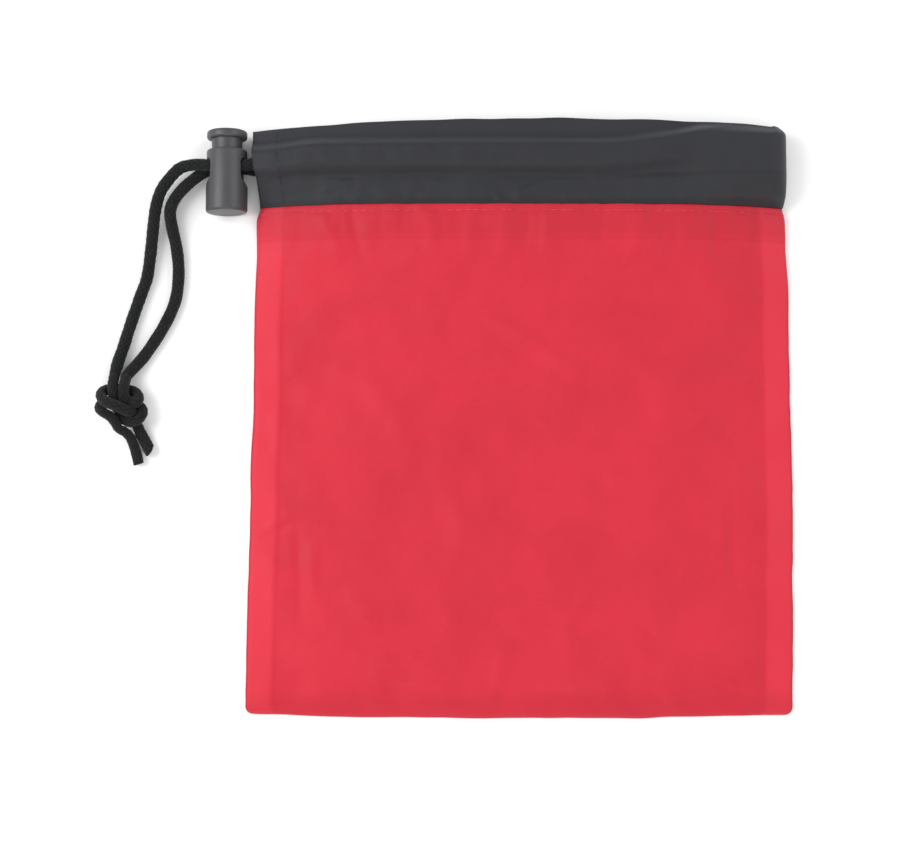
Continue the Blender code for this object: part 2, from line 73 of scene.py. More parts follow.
def makeCamera(settings):
    data = bpy.data.cameras.new("camera")
    data.lens = settings["cameraLens"]
    data.sensor_width = 36.0
    data.clip_start = 0.01
    data.clip_end = 20.0
    camera = bpy.data.objects.new("camera", data)
    bpy.context.scene.collection.objects.link(camera)
    tilt = radians(settings["cameraElevation"])
    away = Vector((0.0, -cos(tilt), sin(tilt))) * settings["cameraDistance"] * mm
    camera.location = Vector(settings["cameraTarget"]) * mm + away
    camera.rotation_euler = (pi / 2 - tilt, 0.0, 0.0)
    bpy.context.scene.camera = camera


def makeLights(settings):
    scene = bpy.context.scene
    world = bpy.data.worlds.new("studioWorld")
    scene.world = world
    world.use_nodes = True
    background = world.node_tree.nodes["Background"]
    setInput(background, "Color", (1.0, 1.0, 1.0, 1.0))
    setInput(background, "Strength", settings["worldStrength"])
    for name, place, size, power in settings["softboxes"]:
        data = bpy.data.lights.new(name, "AREA")
        data.shape = "SQUARE"
        data.size = size
        data.energy = power
        light = bpy.data.objects.new(name, data)
        light.location = place
        light.rotation_euler = (-Vector(place)).to_track_quat("-Z", "Y").to_euler()
        scene.collection.objects.link(light)
    scene.view_settings.view_transform = "Standard"
    scene.view_settings.look = "None"


def makeFloor(settings):
    half = settings["floorSize"] / 2
    mesh = bpy.data.meshes.new("studioFloor")
    corners = [(-half, -half, 0), (half, -half, 0), (half, half, 0), (-half, half, 0)]
    mesh.from_pydata(corners, [], [(0, 1, 2, 3)])
    floor = bpy.data.objects.new("studioFloor", mesh)
    bpy.context.scene.collection.objects.link(floor)
    material = bpy.data.materials.new("paleFloor")
    material.use_nodes = True
    shader = material.node_tree.nodes["Principled BSDF"]
    setInput(shader, "Base Color", (*settings["floorColour"], 1.0))
    setInput(shader, "Roughness", 1.0)
    setInput(shader, "Specular IOR Level", 0.0)
    mesh.materials.append(material)


makeCamera(studio)
makeLights(studio)
makeFloor(studio)
print("camera, light and floor are up")

# small helpers


def mix(a, b, t):
    return a + (b - a) * t


def smoothStep(t):
    t = np.clip(t, 0.0, 1.0)
    return t * t * (3.0 - 2.0 * t)


def along(table, y):
    # value at y of a soft curve through (y, value) pairs
    ys = np.array([row[0] for row in table])
    values = np.array([row[1] for row in table])
    y = np.clip(y, ys[0], ys[-1])
    low = np.clip(np.searchsorted(ys, y) - 1, 0, len(ys) - 2)
    t = (y - ys[low]) / (ys[low + 1] - ys[low])
    return mix(values[low], values[low + 1], 0.5 * t + 0.5 * smoothStep(t))


def makeObject(name, mesh, material):
    item = bpy.data.objects.new(name, mesh)
    bpy.context.scene.collection.objects.link(item)
    if material:
        mesh.materials.append(material)
    return item


def gridFaces(rows, columns, closed):
    # quads over a grid of points, row after row
    across = columns if closed else columns - 1
    i, j = np.meshgrid(np.arange(rows - 1), np.arange(across), indexing="ij")
    after = (j + 1) % columns
    quads = np.stack([i * columns + j, i * columns + after, (i + 1) * columns + after, (i + 1) * columns + j], -1)
    return quads.reshape(-1, 4).tolist()


def meshFromGrid(name, points, closed=True, weld=0.01 * mm):
    rows, columns = points.shape[:2]
    mesh = bpy.data.meshes.new(name)
    mesh.from_pydata(points.reshape(-1, 3).tolist(), [], gridFaces(rows, columns, closed))
    return mesh


def addAttribute(mesh, name, values):
    attribute = mesh.attributes.new(name, "FLOAT", "POINT")
    attribute.data.foreach_set("value", np.asarray(values, dtype=np.float32).ravel())


def weldAndTurnOut(mesh, distance=0.004 * mm):
    shape = bmesh.new()
    shape.from_mesh(mesh)
    bmesh.ops.remove_doubles(shape, verts=shape.verts, dist=distance)
    bmesh.ops.dissolve_degenerate(shape, edges=shape.edges, dist=distance)
    bmesh.ops.recalc_face_normals(shape, faces=shape.faces)
    shape.to_mesh(mesh)
    shape.free()
    mesh.shade_smooth()


def waves(x, y, seed, shortest, longest, count=24, stretch=1.0):
    # soft uneven relief: a fixed set of plane waves, longer ones higher; runs about -1 to 1
    dice = np.random.RandomState(seed)
    total = np.zeros(np.broadcast(x, y).shape)
    size = 0.0
    for _ in range(count):
        length = shortest * (longest / shortest) ** dice.rand()
        angle = dice.rand() * pi
        phase = dice.rand() * 2 * pi
        weight = (length / longest) ** 0.7
        total += weight * np.sin(2 * pi * (x * np.cos(angle) * stretch + y * np.sin(angle)) / length + phase)
        size += weight * weight
    return total / (1.6 * size ** 0.5)


def segmentRelief(x, y, folds):
    # folds and creases as (x1, y1, x2, y2, width, height), each fading out at both ends
    total = np.zeros(np.broadcast(x, y).shape)
    for x1, y1, x2, y2, width, height in folds:
        dx, dy = x2 - x1, y2 - y1
        length = (dx * dx + dy * dy) ** 0.5
        t = ((x - x1) * dx + (y - y1) * dy) / length ** 2
        aside = ((x - x1) * dy - (y - y1) * dx) / length
        aside = aside + 0.12 * width * np.sin(9.0 * t + x1)
        fade = smoothStep(t / 0.22) * smoothStep((1.0 - t) / 0.4)
        total += height * np.exp(-(aside / width) ** 2) * fade
    return total


# materials

looks = {
    "red": {
        "dark": (0.475, 0.0110, 0.0270), "light": (0.585, 0.0185, 0.0400),
        # the margin tint is painted light, lighter than the cloth
        "marginLightTint": (0.64, 0.026, 0.050), "shadeTint": (0.40, 0.0085, 0.0210),
        "roughness": 0.58, "sheen": 0.12, "sheenTint": (1.0, 0.45, 0.50),
        "weavePitch": 0.42, "weaveDepth": 0.010, "crumple": 0.11,
    },
    "black": {
        "dark": (0.0155, 0.0160, 0.0190), "light": (0.0235, 0.0240, 0.0290),
        "marginLightTint": (0.026, 0.027, 0.032), "shadeTint": (0.012, 0.012, 0.014),
        "roughness": 0.60, "sheen": 0.10, "sheenTint": (0.85, 0.88, 1.0),
        "weavePitch": 0.42, "weaveDepth": 0.010, "crumple": 0.14,
    },
    # the cord's gap colour is painted shade for the hollows between yarns
    "cord": {"gap": (0.0035, 0.0036, 0.0040), "yarn": (0.0165, 0.0175, 0.0190), "fibrePitch": 0.16},
    "plastic": {"dark": (0.040, 0.0395, 0.044), "light": (0.050, 0.0495, 0.055), "roughness": 0.40},
    "steel": {"dark": (0.42, 0.42, 0.43), "light": (0.60, 0.60, 0.61), "roughness": 0.30},
    "redThread": {"dark": (0.40, 0.012, 0.024), "light": (0.66, 0.060, 0.085), "roughness": 0.55},
    "blackThread": {"dark": (0.008, 0.008, 0.009), "light": (0.020, 0.020, 0.023), "roughness": 0.60},
}


class Nodes:
    # a short way to add and join shader nodes
    def __init__(self, name):
        self.material = bpy.data.materials.new(name)
        self.material.use_nodes = True
        self.tree = self.material.node_tree
        self.shader = self.tree.nodes["Principled BSDF"]

    def add(self, kind, inputs=None, **settings):
        node = self.tree.nodes.new(kind)
        for key, value in settings.items():
            setattr(node, key, value)
        for key, value in (inputs or {}).items():
            if isinstance(value, bpy.types.NodeSocket):
                self.tree.links.new(value, node.inputs[key])
            else:
                node.inputs[key].default_value = value
        return node

    def link(self, output, name):
        self.tree.links.new(output, self.shader.inputs[name])

    def coords(self):
        return self.add("ShaderNodeTexCoord").outputs["Object"]

    def noise(self, scale, detail=2.0, roughness=0.5, distortion=0.0, coords=None):
        inputs = {"Vector": coords or self.coords(), "Scale": scale, "Detail": detail,
                  "Roughness": roughness, "Distortion": distortion}
        return self.add("ShaderNodeTexNoise", inputs).outputs["Fac"]

    def stretch(self, value, low, high):
        inputs = {"Value": value, "From Min": low, "From Max": high}
        return self.add("ShaderNodeMapRange", inputs).outputs["Result"]

    def mixColour(self, factor, a, b):
        node = self.add("ShaderNodeMix", data_type="RGBA")
        for key, value in ((0, factor), (6, a), (7, b)):
            if isinstance(value, bpy.types.NodeSocket):
                self.tree.links.new(value, node.inputs[key])
            elif key == 0:
                node.inputs[key].default_value = value
            else:
                node.inputs[key].default_value = (*value, 1.0)
        return node.outputs[2]

    def maths(self, operation, a, b=0.0):
        return self.add("ShaderNodeMath", {0: a, 1: b}, operation=operation).outputs[0]

    def bump(self, height, distance, strength=1.0, normal=None):
        inputs = {"Height": height, "Distance": distance, "Strength": strength}
        if normal:
            inputs["Normal"] = normal
        return self.add("ShaderNodeBump", inputs).outputs["Normal"]


def makeNylon(name, look):
    # thin plain-weave nylon: fine weave, faint slubs, small crumples, soft sheen
    n = Nodes(name)
    coords = n.coords()
    scale = 2 * pi / (20 * look["weavePitch"] * mm)
    warp = n.add("ShaderNodeTexWave", {"Vector": coords, "Scale": scale, "Distortion": 0.6, "Detail": 1.0},
                 wave_type="BANDS", bands_direction="X").outputs["Fac"]
    weft = n.add("ShaderNodeTexWave", {"Vector": coords, "Scale": scale * 0.94, "Distortion": 0.6, "Detail": 1.0},
                 wave_type="BANDS", bands_direction="Y").outputs["Fac"]
    weave = n.maths("MULTIPLY", warp, weft)
    mottle = n.stretch(n.noise(42.0, 5.0, 0.62, 0.3, coords), 0.30, 0.70)
    slub = n.stretch(n.noise(900.0, 2.0, 0.6, 0.0, coords), 0.25, 0.75)
    patch = n.maths("ADD", n.maths("MULTIPLY", mottle, 0.62), n.maths("MULTIPLY", slub, 0.20))
    patch = n.maths("ADD", patch, n.maths("MULTIPLY", weave, 0.18))
    colour = n.mixColour(patch, look["dark"], look["light"])
    marginLight = n.add("ShaderNodeAttribute", attribute_name="marginLight").outputs["Fac"]
    shade = n.add("ShaderNodeAttribute", attribute_name="shade").outputs["Fac"]
    # painted light: lightens the cloth along the body's side margins and at the casing's top fold and hem
    colour = n.mixColour(n.maths("MULTIPLY", marginLight, 0.75), colour, look["marginLightTint"])
    colour = n.mixColour(n.maths("MULTIPLY", shade, 0.80), colour, look["shadeTint"])
    n.link(colour, "Base Color")
    crumple = n.noise(150.0, 4.0, 0.55, 1.2, coords)
    normal = n.bump(crumple, 0.9 * mm, look["crumple"])
    normal = n.bump(weave, look["weaveDepth"] * mm, 0.9, normal)
    n.link(normal, "Normal")
    rough = n.add("ShaderNodeMapRange", {"Value": mottle, "To Min": look["roughness"] - 0.05,
                                         "To Max": look["roughness"] + 0.07}).outputs["Result"]
    n.link(rough, "Roughness")
    setInput(n.shader, "Sheen Weight", look["sheen"])
    setInput(n.shader, "Sheen Roughness", 0.45)
    setInput(n.shader, "Sheen Tint", (*look["sheenTint"], 1.0))
    setInput(n.shader, "Specular IOR Level", 0.28)
    return n.material


def makeCordMaterial(name, look, braided=True):
    # spun polyester yarns: fibres run along each yarn; on the braid, painted shade darkens the gaps between yarns
    n = Nodes(name)
    if braided:
        lift = n.add("ShaderNodeAttribute", attribute_name="lift").outputs["Fac"]
        fibres = n.add("ShaderNodeUVMap", uv_map="yarn").outputs["UV"]
        strands = n.noise(7.0, 3.0, 0.6, 0.0, fibres)
    else:
        lift = n.stretch(n.noise(900.0, 2.0), 0.35, 0.65)
        strands = n.noise(3000.0, 2.0)
    fleck = n.noise(650.0, 3.0, 0.6)
    # painted shade: darker where lift is low, which on the braid is the gaps between yarns; fleck adds random tone
    level = n.maths("MULTIPLY", n.stretch(lift, 0.18, 0.85), n.stretch(fleck, 0.10, 0.75))
    colour = n.mixColour(level, look["gap"], look["yarn"])
    n.link(colour, "Base Color")
    normal = n.bump(strands, 0.07 * mm, 0.8)
    normal = n.bump(n.noise(4200.0, 2.0, 0.6), 0.03 * mm, 0.7, normal)
    n.link(normal, "Normal")
    setInput(n.shader, "Roughness", 0.86)
    setInput(n.shader, "Specular IOR Level", 0.16)
    setInput(n.shader, "Sheen Weight", 0.10)
    setInput(n.shader, "Sheen Roughness", 0.5)
    return n.material


def makeHardMaterial(name, look, metallic=0.0, grain=420.0, coat=0.0):
    # moulded plastic or drawn wire: faint clouding, fine grain, small scuffs in the gloss
    n = Nodes(name)
    cloud = n.stretch(n.noise(95.0, 4.0, 0.6), 0.3, 0.7)
    n.link(n.mixColour(cloud, look["dark"], look["light"]), "Base Color")
    scuff = n.noise(grain, 5.0, 0.7, 1.5)
    rough = n.add("ShaderNodeMapRange", {"Value": scuff, "To Min": look["roughness"] - 0.07,
                                         "To Max": look["roughness"] + 0.12}).outputs["Result"]
    n.link(rough, "Roughness")
    normal = n.bump(n.noise(2600.0, 2.0, 0.6), 0.012 * mm, 0.6)
    n.link(normal, "Normal")
    setInput(n.shader, "Metallic", metallic)
    setInput(n.shader, "Coat Weight", coat)
    return n.material


redNylon = makeNylon("redNylon", looks["red"])
blackNylon = makeNylon("blackNylon", looks["black"])
cordMaterial = makeCordMaterial("braidedCord", looks["cord"])
innerCordMaterial = makeCordMaterial("innerCord", looks["cord"], braided=False)
plastic = makeHardMaterial("greyPlastic", looks["plastic"])
steel = makeHardMaterial("springSteel", looks["steel"], metallic=1.0)
redThread = makeHardMaterial("redThread", looks["redThread"], grain=1800.0)
blackThread = makeHardMaterial("blackThread", looks["blackThread"], grain=1800.0)
print("materials are mixed")

# drawcord, lock side to tails

cord = {
    "diameter": 3.6,
    "knotDiameter": 3.2,      # the strands are squeezed where they cross in the knot
    "ringSpacing": 0.27,
    "around": 44,
    "yarnsEachWay": 8,
    "yarnPitch": 2.1,
    "relief": 0.26,
    # from just inside the casing's left end, through the lock, to the top of the knot
    "front": [
        (-73.7, 76.6, 8.85), (-77.1, 76.4, 8.2), (-80.4, 75.9, 7.95), (-84.0, 75.5, 8.15),
        (-91.5, 75.5, 8.15), (-95.0, 75.8, 7.6), (-98.2, 75.9, 6.9), (-101.9, 75.0, 6.2),
        (-105.3, 71.8, 5.3), (-107.9, 67.9, 4.7), (-109.3, 62.8, 4.2), (-110.1, 56.9, 3.3),
        (-110.9, 49.4, 2.4), (-111.9, 42.5, 1.95), (-113.4, 38.1, 1.85), (-115.1, 33.1, 1.85),
        (-117.0, 27.3, 1.85), (-118.7, 21.6, 1.9), (-120.2, 17.0, 2.3),
    ],
    "back": [
        (-73.7, 74.9, 2.5), (-77.0, 74.9, 2.45), (-79.4, 75.1, 2.9), (-82.6, 75.4, 4.1),
        (-87.7, 75.4, 4.3), (-91.8, 75.3, 4.3), (-94.8, 74.2, 4.3), (-97.5, 72.4, 4.3),
        (-100.8, 69.5, 4.25), (-103.6, 66.0, 4.2), (-104.9, 62.2, 4.1), (-104.3, 57.3, 3.4),
        (-103.2, 52.2, 2.4), (-102.5, 46.4, 1.95), (-102.5, 41.6, 1.85), (-103.1, 36.5, 1.85),
        (-104.6, 32.0, 1.85), (-106.9, 27.4, 1.85), (-109.3, 23.4, 1.85), (-112.8, 18.3, 1.95),
    ],
    # the turns of the overhand knot tied with both strands, and the two cut tails
    "frontKnot": [
        (-121.0, 13.2, 3.2), (-121.1, 10.6, 5.6), (-121.0, 7.6, 7.4), (-120.6, 4.6, 6.4),
        (-119.6, 1.6, 4.6), (-117.6, -0.9, 5.0), (-114.9, -1.3, 6.0), (-112.9, 0.6, 5.2),
        (-113.2, 3.4, 3.2), (-116.0, 5.0, 2.0), (-119.6, 5.6, 1.9), (-123.0, 5.4, 2.4),
        (-125.6, 3.8, 4.4), (-124.6, 1.8, 6.8), (-121.2, 0.4, 7.6), (-118.6, -0.9, 6.4),
        (-117.0, -2.6, 4.8), (-116.1, -4.4, 4.0), (-115.4, -6.4, 3.4), (-114.5, -9.8, 2.2),
        (-113.7, -13.6, 1.8),
    ],
    "backKnot": [
        (-117.2, 13.0, 3.2), (-117.7, 10.4, 5.6), (-117.8, 7.8, 7.4), (-117.3, 4.9, 6.6),
        (-115.8, 3.0, 6.0), (-113.9, 3.6, 6.4), (-113.3, 6.0, 5.2), (-114.9, 8.0, 3.4),
        (-118.0, 8.8, 2.4), (-121.6, 8.9, 2.6), (-124.6, 8.2, 4.2), (-124.8, 6.0, 6.6),
        (-122.0, 4.2, 8.8), (-118.8, 3.0, 9.2), (-116.0, 1.6, 8.0), (-114.6, 0.6, 5.0),
        (-114.4, -0.8, 2.6), (-114.4, -2.6, 1.85), (-113.0, -4.9, 1.8), (-111.7, -7.2, 1.8),
        (-110.5, -9.4, 1.8),
    ],
    "settleSteps": 160,
    "settleSpacing": 0.8,
    "settleSmoothing": 0.12,
    "settleShrink": 0.92,
    "settleGrip": 0.03,
    "floorHeight": 1.75,
}


def smoothRoute(points, spacing):
    # even points on a soft curve through a route's own points
    nodes = np.array(points, float)
    fine = []
    for i in range(len(nodes) - 1):
        a, b, c, d = nodes[max(i - 1, 0)], nodes[i], nodes[i + 1], nodes[min(i + 2, len(nodes) - 1)]
        t = np.linspace(0.0, 1.0, 12, endpoint=False)[:, None]
        fine.append(0.5 * (2 * b + (c - a) * t + (2 * a - 5 * b + 4 * c - d) * t ** 2 + (3 * b - a - 3 * c + d) * t ** 3))
    fine = np.concatenate(fine + [nodes[-1:]])
    reach = np.concatenate([[0.0], np.cumsum(np.linalg.norm(np.diff(fine, axis=0), axis=1))])
    goals = np.linspace(0.0, reach[-1], int(round(reach[-1] / spacing)) + 1)
    return np.stack([np.interp(goals, reach, fine[:, k]) for k in range(3)], 1)


def settleKnot(routes, s):
    # draws the strands tight and pushes them apart wherever they touch, with their ends held
    strands = [smoothRoute(route, s["settleSpacing"]) for route in routes]
    counts = [len(strand) for strand in strands]
    starts = np.cumsum([0] + counts)
    rests = [np.linalg.norm(strand[1] - strand[0]) for strand in strands]
    q = np.concatenate(strands)
    home = q.copy()
    own = np.repeat(np.arange(len(counts)), counts)
    place = np.concatenate([np.arange(n) for n in counts])
    apart = int(np.ceil(1.5 * s["knotDiameter"] / s["settleSpacing"]))
    near = (own[:, None] == own[None, :]) & (np.abs(place[:, None] - place[None, :]) < apart)
    pinned = np.zeros(len(q), bool)
    for a, b in zip(starts, starts[1:]):
        pinned[a:a + 2] = True
        pinned[b - 3:b] = True
    for step in range(s["settleSteps"]):
        tight = 1.0 - (1.0 - s["settleShrink"]) * min(1.0, step / (s["settleSteps"] * 0.6))
        for a, b, rest in zip(starts, starts[1:], rests):
            strand = q[a:b]
            for _ in range(3):
                for odd in (0, 1):
                    i = np.arange(odd, b - a - 1, 2)
                    gap = strand[i + 1] - strand[i]
                    long = np.maximum(np.linalg.norm(gap, axis=1), 1e-6)[:, None]
                    pull = gap * (1.0 - rest * tight / long) * 0.5
                    strand[i] += pull
                    strand[i + 1] -= pull
            strand[1:-1] += ((strand[:-2] + strand[2:]) * 0.5 - strand[1:-1]) * s["settleSmoothing"]
        q += (home - q) * s["settleGrip"]
        for _ in range(2):
            gaps = q[:, None, :] - q[None, :, :]
            far = np.sqrt((gaps ** 2).sum(2)) + 1e-9
            touch = (far < s["knotDiameter"]) & ~near
            push = (np.where(touch, (s["knotDiameter"] - far) / far, 0.0)[:, :, None] * gaps).sum(1) * 0.5
            q += push / np.sqrt(np.maximum(touch.sum(1), 1))[:, None]
            q[:, 2] = np.maximum(q[:, 2], s["floorHeight"])
        q[pinned] = home[pinned]
    return [q[a:b] for a, b in zip(starts, starts[1:])]


def turnFrames(points):
    # a side and an up direction at every point that turn no more than the path does
    ahead = np.gradient(points, axis=0)
    ahead /= np.linalg.norm(ahead, axis=1)[:, None]
    side = np.cross(ahead[0], (0.0, 0.0, 1.0))
    side /= np.linalg.norm(side)
    sides = [side]
    for k in range(1, len(points)):
        side = sides[-1] - ahead[k] * np.dot(sides[-1], ahead[k])
        sides.append(side / np.linalg.norm(side))
    sides = np.array(sides)
    return ahead, sides, np.cross(sides, ahead)


def braidLift(theta, reach, s):
    # height of the outer yarn, 0 in the gaps and 1 on a yarn's crown, and the way along each yarn
    a = s["yarnsEachWay"] * theta / (2 * pi) + reach / s["yarnPitch"]
    b = s["yarnsEachWay"] * theta / (2 * pi) - reach / s["yarnPitch"]
    rightOver = (np.floor(a) + np.floor(b)) % 2 == 0
    across = np.where(rightOver, a % 1.0, b % 1.0)
    down = np.where(rightOver, b % 1.0, a % 1.0)
    crown = np.sin(pi * across) ** 0.55 * (0.35 + 0.65 * np.sin(pi * down) ** 0.6)
    return crown, np.where(rightOver, across + np.floor(a), across + np.floor(b) + 37.0), down


def braidedTube(name, points, s, radius, slant):
    ahead, side, up = turnFrames(points)
    reach = np.concatenate([[0.0], np.cumsum(np.linalg.norm(np.diff(points, axis=0), axis=1))])
    theta = 2 * pi * np.arange(s["around"]) / s["around"]
    lift, yarnAcross, yarnDown = braidLift(theta[None, :], reach[:, None], s)
    r = radius[:, None] + s["relief"] * (lift - 0.62)
    r = r + 0.03 * np.sin(reach[:, None] * 0.9 + theta[None, :] * 2.0)
    left = (reach[-1] - reach)[:, None]
    skew = slant * smoothStep(1.0 - left / 4.0) * np.cos(theta)[None, :] * radius[:, None]
    ring = (points[:, None, :]
            + r[:, :, None] * (np.cos(theta)[None, :, None] * side[:, None, :] + np.sin(theta)[None, :, None] * up[:, None, :])
            + skew[:, :, None] * ahead[:, None, :])
    rows, columns = ring.shape[:2]
    # each end is closed by smaller rings and a middle point, the cut face of the yarns
    inner = []
    for at, sign in ((0, -1.0), (rows - 1, 1.0)):
        middle = ring[at].mean(0)
        for scale, out in ((0.82, 0.10), (0.45, 0.06)):
            inner.append(middle + (ring[at] - middle) * scale + ahead[at] * sign * out)
        inner.append(np.repeat(middle[None, :], columns, 0))
    grid = np.concatenate([inner[2:3], inner[1:2], inner[0:1], ring, inner[3:4], inner[4:5], inner[5:6]])
    grid[:, :, 2] = np.maximum(grid[:, :, 2], 0.02)
    mesh = meshFromGrid(name, grid * mm)
    pad = 3
    lift = np.pad(lift, ((pad, pad), (0, 0)), constant_values=0.45)
    addAttribute(mesh, "lift", lift)
    layer = mesh.uv_layers.new(name="yarn")
    uv = np.stack([np.pad(yarnAcross, ((pad, pad), (0, 0)), mode="edge"),
                   np.pad(yarnDown, ((pad, pad), (0, 0)), mode="edge") * 0.12], -1).reshape(-1, 2)
    corner = np.empty(len(mesh.loops), int)
    mesh.loops.foreach_get("vertex_index", corner)
    layer.data.foreach_set("uv", uv[corner].astype(np.float32).ravel())
    weldAndTurnOut(mesh)
    return mesh


def makeCord(s):
    knots = settleKnot([s["frontKnot"], s["backKnot"]], s)
    made = []
    for name, lead, knot, slant, exitX in (
        ("drawcordFront", s["front"], knots[0], 0.15, -79.5), ("drawcordBack", s["back"], knots[1], 0.85, -79.5)):
        route = smoothRoute(lead + [tuple(p) for p in knot[::3]] + [tuple(knot[-1])], s["ringSpacing"])
        # squeezed inside the knot, full size outside it
        fromKnot = np.linalg.norm((route - np.array((-119.1, 3.6, 4.7))) * np.array((1.0, 1.0, 0.6)), axis=1)
        radius = mix(0.5 * s["knotDiameter"] - 0.02, 0.5 * s["diameter"] - 0.04, smoothStep((fromKnot - 8.0) / 5.0))
        if slant < 0.5:
            radius = radius * mix(0.86, 1.0, smoothStep((route[:, 1] + 12.0) / 30.0))
        mesh = braidedTube(name, route, s, radius, slant)
        item = makeObject(name, mesh, cordMaterial)
        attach(item, "pouch")
        made.append(item)
    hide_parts("drawcord_front_strand", "drawcord_knot", "drawcord_front_tail")
    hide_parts("drawcord_back_strand", "drawcord_back_tail")
    return made


makeCord(cord)
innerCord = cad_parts["drawcord_in_casing"]
innerCord.data.materials.clear()
innerCord.data.materials.append(innerCordMaterial)
print("cord is braided and knotted")

# shape of the casing and the mouth

casing = {
    "seamY": 63.5, "seamGap": 0.05,
    "topMiddle": 88.85, "topLeft": 85.75, "topRight": 86.8,
    "leftTop": -79.95, "leftSeam": -78.0, "right": 80.1,
    "flat": 1.2, "channel": 5.1, "mouthGap": 5.0, "leftGap": 0.35, "rightGap": 2.6,
    "halfWidth": 79.0,
    "frontCordY": 78.0, "frontCordExitY": 76.4, "frontCordTurnY": 82.6,
    "backCordY": 74.9, "backCordTurnY": 67.6,
    "wall": 0.20, "hemDepth": 8.0, "hemStep": 0.32,
    "stationsFront": 190, "stationsTurn": 30, "stationsBack": 70, "layers": 56,
    # creases on the front as (x1, y1, x2, y2, width, height)
    "creases": [
        (-74, 72.6, -40, 71.6, 0.7, -0.42), (-46, 71.9, -8, 72.9, 0.8, -0.38), (-14, 72.4, 30, 71.9, 0.7, -0.42),
        (22, 72.2, 62, 73.0, 0.9, -0.34), (-60, 67.5, -48, 70.8, 0.8, 0.30), (-30, 65.5, -22, 71.2, 0.9, 0.28),
        (-2, 66.0, 9, 70.6, 0.8, 0.30), (31, 65.4, 38, 71.0, 0.9, 0.28), (55, 66.0, 66, 70.4, 0.8, 0.32),
        (-52, 81.4, -20, 83.2, 1.1, -0.25), (6, 83.4, 44, 82.2, 1.1, -0.25), (60, 80.0, 74, 84.5, 1.2, 0.30),
    ],
}


def lens(x):
    return np.maximum(0.0, 1.0 - np.abs(x / casing["halfWidth"]) ** 4)


def sideGap(x):
    return mix(casing["leftGap"], casing["rightGap"], smoothStep((x + casing["halfWidth"]) / (2 * casing["halfWidth"])))


def backCordY(x):
    return mix(casing["backCordY"], casing["backCordTurnY"], smoothStep((x - 20.0) / 54.0))


def frontCordY(x):
    leaving = mix(casing["frontCordExitY"], casing["frontCordY"], smoothStep((x + 78.0) / 20.0))
    return mix(leaving, casing["frontCordTurnY"], smoothStep((x - 20.0) / 54.0))


def channelThickness(y, cordY, halfFlat):
    return mix(casing["channel"], casing["flat"], smoothStep((np.abs(y - cordY) - halfFlat) / 4.2))


def frontInnerZ(x, y):
    openHeight = casing["channel"] + casing["mouthGap"]
    overCord = casing["channel"] + sideGap(x)
    below = mix(1.6, overCord, smoothStep((y - casing["seamY"]) / 8.5))
    above = mix(overCord, 3.4, smoothStep((y - 84.0) / 5.0))
    above = np.where(x > 0.0, mix(above, overCord, smoothStep(x / 60.0)), above)
    return mix(np.where(y < casing["frontCordY"], below, above), openHeight, lens(x))


def casingTop(u):
    ends = mix(casing["topLeft"], casing["topRight"], u)
    bow = casing["topMiddle"] - 0.5 * (casing["topLeft"] + casing["topRight"])
    return ends + bow * (1.0 - (2.0 * u - 1.0) ** 2)


def casingLeft(v):
    return mix(casing["leftSeam"], casing["leftTop"], smoothStep(v * 1.3))


def casingRight(v):
    top = 1.6 * np.maximum(0.0, (v - 0.9) / 0.1) ** 2
    seam = 0.5 * np.maximum(0.0, (0.2 - v) / 0.2) ** 2
    return casing["right"] - top - seam


def casingPoints(path, v, outer):
    # path 0..1 along the front, 1..2 round the turn, 2..3 along the back; v from the seam to the top fold
    path, v = np.broadcast_arrays(path, v)
    u = np.where(path <= 1.0, path, np.where(path <= 2.0, 1.0, 3.0 - path))
    y = mix(casing["seamY"] + casing["seamGap"], casingTop(u), v)
    turn = smoothStep((u - 0.78) / 0.2)
    halfFlat = mix(2.3, 4.6, turn)
    middle = 0.5 * (casing["frontCordTurnY"] + casing["backCordTurnY"])
    turnThick = channelThickness(y, middle, 8.6)
    reachIn = 0.5 * casing["rightGap"]
    x = mix(casingLeft(v), casingRight(v) - reachIn - turnThick, u)
    front = mix(channelThickness(y, frontCordY(x), halfFlat), turnThick, turn)
    back = mix(channelThickness(y, backCordY(x), halfFlat), turnThick, turn)
    inner = frontInnerZ(x, y)
    high = inner + front if outer else inner
    low = np.zeros_like(back) if outer else back
    angle = np.clip(path - 1.0, 0.0, 1.0) * pi
    reach = reachIn + (turnThick if outer else 0.0)
    z = 0.5 * (high + low) + 0.5 * (high - low) * np.cos(angle)
    return np.stack([x + reach * np.sin(angle), y, z], -1)


